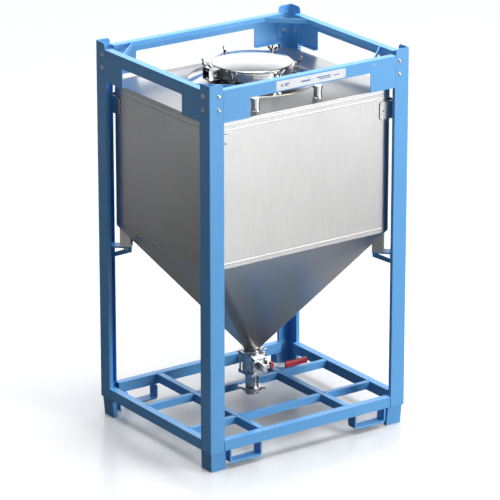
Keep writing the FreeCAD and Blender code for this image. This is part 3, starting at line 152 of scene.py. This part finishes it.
class Paint:
    """A material under construction, with one method that adds any node."""

    def __init__(self, name, store=bpy.data.materials):
        self.material = store.new(name)
        self.material.use_nodes = True
        self.nodes = self.material.node_tree.nodes
        self.links = self.material.node_tree.links
        self.shader = self.nodes.get("Principled BSDF") or self.nodes.get("Background")

    def node(self, kind, settings, values, out=0):
        """Adds a node of a kind, sets its settings, then feeds its sockets with values or wires."""
        made = self.nodes.new(kind)
        for key, value in settings.items():
            if key == "stops":
                self.fill_ramp(made.color_ramp, value)
            else:
                setattr(made, key, value)
        for key, value in values.items():
            self.feed(made.inputs[key], value)
        return Wire(self, made.outputs[out])

    def feed(self, socket, value):
        """Links a wire to a socket, or sets a plain value on it."""
        if isinstance(value, Wire):
            self.links.new(value.socket, socket)
        else:
            socket.default_value = value

    @staticmethod
    def fill_ramp(ramp, stops):
        """Sets a ramp's stops from (place, colour) pairs."""
        while len(ramp.elements) < len(stops):
            ramp.elements.new(0.5)
        for element, (place, colour) in zip(ramp.elements, stops):
            element.position, element.color = place, (*colour, 1.0)

    def place(self):
        """Object coordinates, in metres."""
        return self.node("ShaderNodeTexCoord", {}, {}, "Object")

    def stretched(self, scale):
        """Object coordinates with each axis multiplied."""
        return self.node("ShaderNodeMapping", {}, {"Vector": self.place(), "Scale": scale})

    def noise(self, scale, detail=3.0, stretch=(1.0, 1.0, 1.0), rough=0.55):
        """Cloudy noise between 0 and 1 at a scale per metre."""
        values = {"Vector": self.stretched(stretch), "Scale": scale, "Detail": detail, "Roughness": rough}
        return self.node("ShaderNodeTexNoise", {}, values, 0)

    def axis(self, letter, frame="Object"):
        """One coordinate of the surface, in metres, or of a direction for the surround."""
        place = self.node("ShaderNodeTexCoord", {}, {}, frame)
        return self.node("ShaderNodeSeparateXYZ", {}, {0: place}, letter)

    def ridge_mask(self, radius):
        """1 on outer edges and 0 on flats: how far the rounded normal turns from the true one."""
        soft = self.node("ShaderNodeBevel", {"samples": EDGE_SAMPLES}, {"Radius": radius})
        true = self.node("ShaderNodeNewGeometry", {}, {}, "Normal")
        same = self.node("ShaderNodeVectorMath", {"operation": "DOT_PRODUCT"}, {0: soft, 1: true}, "Value")
        return (1 - same).clamp()

    def mix(self, factor, low, high):
        """A colour between two colours."""
        values = {0: factor, 6: low, 7: high}
        return self.node("ShaderNodeMix", {"data_type": "RGBA"}, values, 2)

    def bump(self, height, distance, strength=1.0, edge=0.0):
        """A normal from a height field, over rounded edges where edge is a radius."""
        values = {"Height": height, "Distance": distance, "Strength": strength}
        if edge:
            values["Normal"] = self.node("ShaderNodeBevel", {"samples": EDGE_SAMPLES}, {"Radius": edge})
        return self.node("ShaderNodeBump", {}, values)

    def finish(self, **sockets):
        """Feeds the shader's sockets, named with underscores for blanks."""
        for key, value in sockets.items():
            self.feed(self.shader.inputs[key.replace("_", " ")], value)
        return self.material


def rgb(red, green, blue):
    """An opaque colour."""
    return (red, green, blue, 1.0)


# ---------------------------------------------------------------- finishes

BLUE_DEEP, BLUE_LIGHT = rgb(0.108, 0.395, 0.80), rgb(0.128, 0.440, 0.87)
# The lighter blue for the outer edges is part rubbed wear and part painted edge highlight
BLUE_RUBBED_HIGHLIGHT, BLUE_SCUFFED = rgb(0.24, 0.55, 0.92), rgb(0.10, 0.20, 0.34)
RUB_HIGHLIGHT_SHARE, SCUFF_SHARE = 0.55, 0.35


def powder_coat():
    """Light blue powder coat: orange peel, slight tone drift, lighter blue outer edges that are part rubbed
    wear and part painted highlight, and scuffs near the floor.
    """
    paint = Paint("blue_powder_coat")
    drift = paint.noise(2.2, detail=2.0)
    peel = paint.noise(420.0, detail=2.0)
    cloud = paint.noise(26.0, detail=4.0)
    tone = paint.mix(drift, BLUE_DEEP, BLUE_LIGHT)
    # Outer edges lightened towards a paler blue, broken up by noise: part rubbed wear, part painted edge
    # highlight
    rub_and_highlight = paint.ridge_mask(0.0035) * paint.noise(60.0, detail=4.0).step(0.35, 0.75)
    tone = paint.mix(rub_and_highlight.step(0.05, 0.45) * RUB_HIGHLIGHT_SHARE, tone, BLUE_RUBBED_HIGHLIGHT)
    low = 1 - paint.axis("Z").step(0.02, 0.30)
    scuff = paint.noise(90.0, detail=6.0, stretch=(1.0, 1.0, 5.0), rough=0.7).step(0.60, 0.72) * low
    tone = paint.mix(scuff * SCUFF_SHARE, tone, BLUE_SCUFFED)
    rough = 0.34 + cloud * 0.12 + scuff * 0.2
    peeled = paint.bump(peel, distance=0.00006, strength=0.5, edge=0.0015)
    return paint.finish(Base_Color=tone, Roughness=rough, Normal=peeled, Coat_Weight=0.25,
                        Coat_Roughness=0.2, Specular_IOR_Level=0.5)


def ground_steel(name, grain, tone, rough, edge):
    """Ground stainless sheet: fine directional grain, soft rolling waves and a faint tone drift."""
    paint = Paint(name)
    lines = paint.noise(240.0, detail=5.0, stretch=grain, rough=0.65)
    fine = paint.noise(900.0, detail=3.0, stretch=grain, rough=0.6)
    drift = paint.noise(1.6, detail=3.0)
    cloud = paint.noise(7.0, detail=4.0)
    waves = paint.noise(2.6, detail=1.5)
    dark, light = [rgb(*[channel * share for channel in tone]) for share in (0.90, 1.06)]
    colour = paint.mix((lines * 0.5 + drift * 0.5).step(0.30, 0.70), dark, light)
    roughness = rough + lines * 0.10 + cloud * 0.05
    height = lines * 0.4 + fine * 0.3
    grained = paint.bump(height, distance=0.00012, strength=0.35, edge=edge)
    rolled = {"Height": waves, "Distance": 0.004, "Strength": 0.35, "Normal": grained}
    normal = paint.node("ShaderNodeBump", {}, rolled)
    return paint.finish(Base_Color=colour, Metallic=1.0, Roughness=roughness, Normal=normal)


def bright_steel(name, low, high, rough):
    """Polished stainless with faint haze, hairlines and softly caught edges."""
    paint = Paint(name)
    haze = paint.noise(14.0, detail=5.0)
    hair = paint.noise(700.0, detail=3.0, stretch=(1.0, 1.0, 0.15), rough=0.7)
    hairlines = paint.bump(hair, distance=0.00003, strength=0.3, edge=0.0012)
    return paint.finish(Base_Color=paint.mix(haze, rgb(*low), rgb(*high)), Metallic=1.0,
                        Roughness=rough + haze * 0.09, Normal=hairlines)


CAST_DARK, CAST_LIGHT, CAST_EDGE_HIGHLIGHT = rgb(0.42, 0.42, 0.43), rgb(0.62, 0.62, 0.62), rgb(0.85, 0.85, 0.86)


def cast_steel():
    """Bead blasted and lightly polished valve castings with a fine pitted skin, and a painted highlight
    that lightens their outer edges.
    """
    paint = Paint("cast_valve_steel")
    pits = paint.noise(520.0, detail=4.0)
    cloud = paint.noise(32.0, detail=4.0)
    edge = paint.ridge_mask(0.002)
    colour = paint.mix(cloud, CAST_DARK, CAST_LIGHT)
    # Painted highlight: the outer edges lightened towards a pale grey
    colour = paint.mix(edge.step(0.1, 0.5) * 0.6, colour, CAST_EDGE_HIGHLIGHT)
    return paint.finish(Base_Color=colour, Metallic=1.0, Roughness=0.16 + cloud * 0.14 + pits * 0.05,
                        Normal=paint.bump(pits, distance=0.00010, strength=0.4, edge=0.0015))


BARE_DARK, BARE_LIGHT = rgb(0.62, 0.61, 0.59), rgb(0.86, 0.85, 0.83)


def fastener_steel():
    """Bare stainless fasteners with turning marks and slightly dulled faces."""
    paint = Paint("fastener_steel")
    marks = paint.noise(800.0, detail=3.0, stretch=(1.0, 1.0, 0.3))
    dull = paint.noise(120.0, detail=4.0)
    colour = paint.mix(dull, BARE_DARK, BARE_LIGHT)
    return paint.finish(Base_Color=colour, Metallic=1.0, Roughness=0.2 + dull * 0.18,
                        Normal=paint.bump(marks, distance=0.00005, strength=0.4, edge=0.001))


def moulded(name, low, high, rough, pebble, coat):
    """A moulded plastic or rubber skin: fine pebble, faint flow clouds and lighter outer edges, part wear
    and part painted highlight.
    """
    paint = Paint(name)
    cloud = paint.noise(45.0, detail=4.0)
    skin = paint.noise(pebble, detail=3.0)
    worn_and_highlit = paint.ridge_mask(0.002).step(0.1, 0.5)
    # Outer edges lightened: part wear, part painted edge highlight
    colour = paint.mix((cloud + worn_and_highlit * 0.5).clamp(), rgb(*low), rgb(*high))
    pebbled = paint.bump(skin, distance=0.00008, strength=0.5, edge=0.0012)
    return paint.finish(Base_Color=colour, Roughness=rough + cloud * 0.12, Coat_Weight=coat,
                        Coat_Roughness=0.12, Normal=pebbled)


PLATE_GREY, PLATE_WHITE, PLATE_EDGE = rgb(0.80, 0.82, 0.85), rgb(0.88, 0.90, 0.93), rgb(0.45, 0.47, 0.5)


def plate_print():
    """White stoved plate with a faint satin grain and grey edges."""
    paint = Paint("white_plate")
    grain = paint.noise(500.0, detail=3.0, stretch=(0.1, 1.0, 1.0))
    cloud = paint.noise(18.0, detail=4.0)
    edge = paint.ridge_mask(0.0015).step(0.1, 0.6)
    colour = paint.mix(cloud, PLATE_GREY, PLATE_WHITE)
    colour = paint.mix(edge * 0.5, colour, PLATE_EDGE)
    return paint.finish(Base_Color=colour, Roughness=0.28 + grain * 0.08, Coat_Weight=0.4,
                        Normal=paint.bump(grain, distance=0.00004, strength=0.4))


HEAT_TINT = [(0.30, (0.70, 0.69, 0.67)), (0.52, (0.60, 0.55, 0.46)),
             (0.66, (0.46, 0.47, 0.54)), (0.85, (0.66, 0.66, 0.66))]


def weld_steel():
    """Bright weld bead with straw and blue heat tint."""
    paint = Paint("weld_bead_steel")
    tint = paint.noise(40.0, detail=4.0)
    colour = paint.node("ShaderNodeValToRGB", {"stops": HEAT_TINT}, {0: tint})
    skin = paint.noise(600.0, detail=3.0)
    return paint.finish(Base_Color=colour, Metallic=1.0, Roughness=0.28 + tint * 0.15,
                        Normal=paint.bump(skin, distance=0.00008, strength=0.4))


FINISHES = {
    "frame_paint": powder_coat(),
    "tank_steel": ground_steel("ground_tank_steel", (1.0, 1.0, 0.03), (0.56, 0.555, 0.55), 0.22, 0.002),
    "polished_steel": bright_steel("polished_steel", (0.54, 0.54, 0.54), (0.76, 0.76, 0.77), 0.08),
    "valve_steel": cast_steel(),
    "fastener_steel": fastener_steel(),
    "gasket": moulded("white_rubber", (0.66, 0.66, 0.63), (0.8, 0.8, 0.77), 0.5, 400.0, 0.0),
    "seat_seal": moulded("white_seat", (0.76, 0.76, 0.74), (0.88, 0.88, 0.86), 0.42, 300.0, 0.0),
    "red_grip": moulded("red_vinyl", (0.42, 0.012, 0.022), (0.62, 0.03, 0.045), 0.24, 350.0, 0.35),
    "plate_white": plate_print(),
}
WELD = weld_steel()
# Dark steel for the beads round the corner brackets: a painted shadow line where each bracket stands proud
# of the wall
SHADOW_LINE_STEEL = bright_steel("painted_shadow_line_steel", (0.10, 0.10, 0.11), (0.22, 0.215, 0.21), 0.35)
BLUE_INK = moulded("blue_ink", (0.05, 0.16, 0.42), (0.09, 0.24, 0.55), 0.35, 500.0, 0.1)
DARK_STEEL = bright_steel("hatch_fitting_steel", (0.30, 0.29, 0.29), (0.52, 0.52, 0.52), 0.13)
HATCH_FITTINGS = ("hinge_", "lid_forks", "clevis_", "pivot_", "swing_")


def paint_nodes():
    """Gives every carried-over piece the finish of its slot, except the hatch fittings, which all get the
    darker hatch fitting steel.
    """
    slots = {part["node"]: part["material_slot"] for part in frame["record"]["subparts"]}
    for name, obj in NODES.items():
        obj.data.materials.clear()
        obj.data.materials.append(DARK_STEEL if name.startswith(HATCH_FITTINGS) else FINISHES[slots[name]])


# ---------------------------------------------------------------- surfaces

def unit(vectors):
    """Vectors divided by their own lengths."""
    return vectors / np.linalg.norm(vectors, axis=-1, keepdims=True)


def grid_faces(rows, columns, closed, base):
    """Quads between neighbouring rows and columns of a grid whose columns always close into a ring.
    Where the rows don't close as well, the first and last rows get one cap face each."""
    row, column = np.meshgrid(np.arange(rows if closed else rows - 1), np.arange(columns), indexing="ij")
    after, beside = (row + 1) % rows, (column + 1) % columns
    quads = np.stack([row * columns + column, row * columns + beside,
                      after * columns + beside, after * columns + column], -1).reshape(-1, 4) + base
    faces = quads.tolist()
    if not closed:
        faces += [list(range(base + columns - 1, base - 1, -1)),
                  list(range(base + (rows - 1) * columns, base + rows * columns))]
    return faces


def mesh_object(name, points, faces, material, smooth=True):
    """An object at the origin from an array of points and a list of faces."""
    mesh = bpy.data.meshes.new(name)
    mesh.from_pydata(points.reshape(-1, 3), [], faces)
    mesh.polygons.foreach_set("use_smooth", np.full(len(faces), smooth))
    mesh.materials.append(material)
    mesh.update()
    obj = bpy.data.objects.new(name, mesh)
    bpy.context.scene.collection.objects.link(obj)
    return obj


def rings(name, grids, body, slot, material=None, smooth=True):
    """One piece from several ring-sectioned surfaces, each a (points, closed) pair, riding on a body."""
    faces, base = [], 0
    for points, closed in grids:
        faces += grid_faces(*points.shape[:2], closed, base)
        base += points.shape[0] * points.shape[1]
    points = np.concatenate([points.reshape(-1, 3) for points, closed in grids])
    obj = mesh_object(name, points, faces, material or FINISHES[slot], smooth)
    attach(obj, body)


def carried(path, up, radius, closed=False, squash=1.0):
    """A ring section of a given radius at each path point, spanned by the path's side vector and its lift
    vector, where side is tangent cross up and lift is tangent cross side; squash flattens it along lift."""
    if closed:
        tangent = np.roll(path, -1, 0) - np.roll(path, 1, 0)
    else:
        tangent = np.gradient(path, axis=0)
    tangent = unit(tangent)
    side = unit(np.cross(tangent, up))
    lift = np.cross(tangent, side)
    turn = np.linspace(0, TURN, BEAD_SIDES, endpoint=False)[None, :, None]
    ring = np.cos(turn) * side[:, None, :] + squash * np.sin(turn) * lift[:, None, :]
    radius = np.broadcast_to(np.asarray(radius, float), len(path))
    return path[:, None, :] + radius[:, None, None] * ring, closed


def straight_bead(start, end, up):
    """A weld bead: its radius rises and falls by an eighth at each ripple and draws in at both ends, by
    the root of a sine held at 1."""
    start, end = np.asarray(start, float), np.asarray(end, float)
    steps = max(FEWEST_STEPS, int(np.linalg.norm(end - start) / FRAME_PITCH * 2))
    along = np.linspace(0, 1, steps)
    ripple = 1 + RIPPLE * np.cos(np.arange(steps) * math.pi)
    taper = np.sqrt(np.clip(np.sin(math.pi * along) * TAPER_SLOPE, TAPER_END, 1))
    path = start + along[:, None] * (end - start)
    return carried(path, np.asarray(up, float), FRAME_BEAD * ripple * taper)


def circle(centre, radius, count):
    """Points round a level circle."""
    turn = np.linspace(0, TURN, count, endpoint=False)
    return np.stack([centre[0] + radius * np.cos(turn), centre[1] + radius * np.sin(turn),
                     np.full(count, centre[2])], -1)


def ring_bead(centre, radius, size, pitch=LEVEL_PITCH, node=None):
    """A rippled bead round a level circle, or round that circle dropped onto a node's top surface."""
    count = int(TURN * radius / pitch) * 2
    path = circle(centre, radius, count)
    if node:
        hits = [NODES[node].ray_cast(Vector(p) + Vector((0, 0, 0.1)), Vector((0, 0, -1)))[1] for p in path]
        path = np.array(hits)
    ripple = 1 + RIPPLE * np.cos(np.arange(count) * math.pi)
    return carried(path, UP, size * ripple, closed=True)


def turned_solid(profile, place, axis, count):
    """A profile of (radius, height) points turned about an axis through a place, its two ends capped."""
    axis = unit(np.asarray(axis, float))
    side = unit(np.cross(axis, (0.31, 0.52, 0.79)))
    other = np.cross(axis, side)
    turn = np.linspace(0, TURN, count, endpoint=False)[None, :, None]
    radius, height = [np.array(column)[:, None, None] for column in zip(*profile)]
    ring = np.cos(turn) * side + np.sin(turn) * other
    return np.asarray(place, float) + radius * ring + height * axis, False


# ---------------------------------------------------------------- welds and small fittings

def frame_welds():
    """Painted fillet welds where the base's members meet, and where its rails meet the posts."""
    beads = []
    rail_low, rail_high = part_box("base_rail_front")
    side_low, side_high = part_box("base_rail_left")
    top, inner_y, inner_x = rail_high.z, -rail_high.y, -side_high.x
    long_low, long_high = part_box("long_members")
    for sx in (-1, 1):
        edges = [sx * long_high.x, sx * (long_high.x - LONG_WIDTH)]
        for sy in (-1, 1):
            y = sy * inner_y
            beads.append(straight_bead((edges[0], y, top), (edges[1], y, top), UP))
            for x in edges:
                beads.append(straight_bead((x, y, long_low.z), (x, y, top), (0, -sy, 0)))
    inner_edge = long_high.x - LONG_WIDTH
    for y in CROSS_REAR_FACES:
        for x in (-inner_x, -long_high.x, -inner_edge, inner_edge, long_high.x, inner_x):
            beads.append(straight_bead((x, y - CROSS_WIDTH, top), (x, y, top), UP))
            for edge in (y - CROSS_WIDTH, y):
                beads.append(straight_bead((x, edge, top - CROSS_HEIGHT), (x, edge, top), (0, 1, 0)))
    for sx, sy in CORNER_SIGNS:
        x, outer_y = sx * rail_high.x, -sy * rail_low.y
        beads.append(straight_bead((x, sy * inner_y, top), (x, outer_y, top), UP))
        beads.append(straight_bead((x, outer_y, rail_low.z), (x, outer_y, top), (0, sy, 0)))
        y, outer_x = sy * side_high.y, -sx * side_low.x
        beads.append(straight_bead((sx * inner_x, y, top), (outer_x, y, top), UP))
        beads.append(straight_bead((outer_x, y, side_low.z), (outer_x, y, top), (sx, 0, 0)))
    rings("frame_welds", beads, "container", "frame_paint")


def tank_welds():
    """Bright welds round the hatch neck, its shoulder, the roof ports and the outlet."""
    neck_low, neck_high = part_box("hatch_neck")
    ferrule_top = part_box("outlet_ferrule")[1]
    neck_foot, neck_radius = neck_low.z + NECK_WELD_LIFT, neck_high.x + NECK_WELD_GAP
    beads = [ring_bead((0, 0, neck_foot), neck_radius, NECK_BEAD),
             ring_bead((0, 0, RIM_WELD_HEIGHT), RIM_WELD_RADIUS, RIM_BEAD)]
    for x, y in PORT_PLACES:
        beads.append(ring_bead((x, y, ABOVE_ROOF), PORT_WELD_RADIUS, PORT_BEAD, PORT_PITCH, "roof"))
    beads.append(ring_bead((0, 0, ferrule_top.z), ferrule_top.x + OUTLET_WELD_GAP, OUTLET_BEAD))
    rings("tank_welds", beads, "container", "tank_steel", WELD)


def flange_bead(place, along, normal, low, high):
    """A weld round one bracket flange: in along its lower edge, round the corner by a quarter circle, up
    its free end and back out along its upper edge, all in the plane of the wall."""
    place, along, normal = [np.asarray(v, float) for v in (place, along, normal)]
    corner = SEAM_CORNER
    quarter = np.linspace(0, math.pi / 2, BEND_STEPS)
    inward = np.linspace(SEAM_REACH, corner, REACH_STEPS)[:-1]
    bend = corner * (1 - np.sin(quarter))
    rise = corner * (1 - np.cos(quarter))
    climb = np.linspace(low + corner, high - corner, CLIMB_STEPS)[1:-1]
    across = np.concatenate([inward, bend, np.zeros(climb.size), bend[::-1], inward[::-1]])
    level = np.concatenate([np.full(inward.size, low), low + rise, climb, high - rise[::-1],
                            np.full(inward.size, high)])
    path = place + across[:, None] * along + level[:, None] * UP
    ripple = 1 + SEAM_RIPPLE * np.cos(np.arange(len(path)) * math.pi)
    return carried(path, normal, SEAM_BEAD * ripple)


def bracket_welds_and_shadow_lines():
    """Welds round the tank's corner brackets in a dark finish that paints the shadow line round each proud
    bracket, and a plug weld on each flange in the same dark finish.
    """
    low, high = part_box("corner_brackets")
    wall_x, wall_y = high.x - BRACKET_SHEET, high.y - BRACKET_SHEET
    free_x, free_y = wall_x - BRACKET_FLANGE, wall_y - BRACKET_FLANGE
    plug_x, plug_y = free_x + PLUG_INSET, free_y + PLUG_INSET
    middle = (low.z + high.z) / 2
    beads = []
    for sx, sy in CORNER_SIGNS:
        beads.append(flange_bead((sx * free_x, sy * wall_y, 0), (sx, 0, 0), (0, sy, 0), low.z, high.z))
        beads.append(flange_bead((sx * wall_x, sy * free_y, 0), (0, sy, 0), (sx, 0, 0), low.z, high.z))
        front_plug, side_plug = (sx * plug_x, sy * high.y, middle), (sx * high.x, sy * plug_y, middle)
        beads.append(turned_solid(PLUG_PROFILE, front_plug, (0, sy, 0), PLUG_SIDES))
        beads.append(turned_solid(PLUG_PROFILE, side_plug, (sx, 0, 0), PLUG_SIDES))
    rings("bracket_welds_and_shadow_lines", beads, "container", "tank_steel", SHADOW_LINE_STEEL)


def plate_marks():
    """Generic marks on the type plate: a round spot and plain bars, with no lettering."""
    low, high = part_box("type_plate")
    y, middle = low.y, (low.z + high.z) / 2
    spot = turned_solid(SPOT_PROFILE, (low.x + SPOT_INSET, y, middle), FRONTWARD, SPOT_SIDES)
    rings("plate_spot", [spot], "container", "plate_white", BLUE_INK)
    bars = []
    for start, end, lift, height in BARS:
        path = np.linspace((low.x + start, y, middle + lift), (low.x + end, y, middle + lift), BAR_STEPS)
        bars.append(carried(path, FRONTWARD, height, squash=BAR_SQUASH))
    rings("plate_bars", bars, "container", "plate_white", BLUE_INK)


def stem_fittings():
    """Washer and hexagon nut that hold the lever's hub on the valve stem."""
    low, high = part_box("valve_stem")
    place = (0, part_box("lever")[0].y, (low.z + high.z) / 2)
    washer = turned_solid(WASHER_PROFILE, place, FRONTWARD, WASHER_SIDES)
    rings("stem_washer", [washer], "valve_handle", "fastener_steel")
    nut = turned_solid(NUT_PROFILE, place, FRONTWARD, HEXAGON)
    rings("stem_nut", [nut], "valve_handle", "fastener_steel", smooth=False)


# ---------------------------------------------------------------- camera, light and floor

LENS, SENSOR, FARTHEST = 257.6, 36.0, 60.0
CAMERA_PLACE = (-9.841, -14.006, 6.878)
CAMERA_DIP, CAMERA_HEADING = math.radians(19.21), math.radians(-35.06)


def camera():
    """A long lens from the front left and above."""
    data = bpy.data.cameras.new("camera")
    data.lens, data.sensor_width, data.clip_end = LENS, SENSOR, FARTHEST
    obj = bpy.data.objects.new("camera", data)
    obj.location = CAMERA_PLACE
    obj.rotation_euler = (math.pi / 2 - CAMERA_DIP, 0, CAMERA_HEADING)
    bpy.context.scene.collection.objects.link(obj)
    bpy.context.scene.camera = obj


def soft_light(name, place, aim, size, watts):
    """A square area light that looks at a point."""
    data = bpy.data.lights.new(name, "AREA")
    data.size, data.energy = size, watts
    obj = bpy.data.objects.new(name, data)
    obj.location = place
    obj.rotation_euler = (Vector(aim) - Vector(place)).to_track_quat("-Z", "Y").to_euler()
    bpy.context.scene.collection.objects.link(obj)


WALL_BEARING = (0.57, 0.82)
CEILING_NARROWING, CEILING_GLOW, WALL_GLOW, ROOM_GLOW = 20.0, 10.6, 1.6, 0.045


def surround():
    """A dim room with a bright ceiling and a soft bright wall behind on the right."""
    room = Paint("studio", bpy.data.worlds)
    up = room.axis("Z", "Generated")
    toward = room.axis("X", "Generated") * WALL_BEARING[0] + room.axis("Y", "Generated") * WALL_BEARING[1]
    ceiling = up.maths("MAXIMUM", 0.0) ** CEILING_NARROWING * CEILING_GLOW
    wall = toward.step(0.45, 0.9) * up.step(-0.02, 0.16) * (1 - up.step(0.35, 0.7)) * WALL_GLOW
    room.finish(Color=(0.95, 0.97, 1.0, 1.0), Strength=ceiling + wall + ROOM_GLOW)
    bpy.context.scene.world = room.material
    bpy.context.scene.view_settings.view_transform = "Standard"


FLOOR_REACH = 40.0
FLOOR_BANDS = [(0.04, (0.75, 0.75, 0.75)), (0.13, (0.13, 0.13, 0.13)), (0.27, (0.075, 0.075, 0.075)),
               (0.44, (0.36, 0.365, 0.37)), (0.60, (0.075, 0.075, 0.075)), (0.77, (0.13, 0.13, 0.13)),
               (0.95, (0.40, 0.40, 0.40))]


def floor():
    """A pale satin floor. Mirrored in the steel, it is banded dark and light from front to rear, and to
    all other light it is dim, as a far larger room would be."""
    paint = Paint("studio_floor")
    marks = paint.noise(0.8, 2.0)
    seen = paint.node("ShaderNodeLightPath", {}, {}, "Is Camera Ray")
    mirrored = paint.node("ShaderNodeLightPath", {}, {}, "Is Glossy Ray")
    depth = paint.axis("Y") * 0.1 + 0.5
    bands = paint.node("ShaderNodeValToRGB", {"stops": FLOOR_BANDS}, {"Fac": depth}, "Color")
    dim = paint.mix(mirrored, rgb(0.09, 0.092, 0.095), bands)
    tone = paint.mix(marks, rgb(0.70, 0.70, 0.70), rgb(0.72, 0.72, 0.72))
    glow = paint.mix(seen, rgb(0, 0, 0), rgb(0.02, 0.02, 0.02))
    paint.finish(Base_Color=paint.mix(seen, dim, tone), Roughness=0.2 + marks * 0.06, Emission_Color=glow,
                 Emission_Strength=1.0, Specular_IOR_Level=0.35)
    corners = FLOOR_REACH * np.array(((-1, -1, 0), (1, -1, 0), (1, 1, 0), (-1, 1, 0)), float)
    mesh_object("studio_floor", corners, [[0, 1, 2, 3]], paint.material)


KEY_PLACE, KEY_AIM, KEY_SIZE, KEY_WATTS = (4.2, -7.0, 3.45), (0, 0, 1.2), 4.2, 580
OVERHEAD_PLACE, OVERHEAD_AIM, OVERHEAD_SIZE, OVERHEAD_WATTS = (0.6, -0.6, 7.0), (0, 0, 0), 3.2, 150


def studio():
    """The surround, the floor and two soft lights."""
    surround()
    floor()
    soft_light("key", KEY_PLACE, KEY_AIM, KEY_SIZE, KEY_WATTS)
    soft_light("overhead", OVERHEAD_PLACE, OVERHEAD_AIM, OVERHEAD_SIZE, OVERHEAD_WATTS)


camera()
studio()
paint_nodes()
frame_welds()
tank_welds()
bracket_welds_and_shadow_lines()
plate_marks()
stem_fittings()
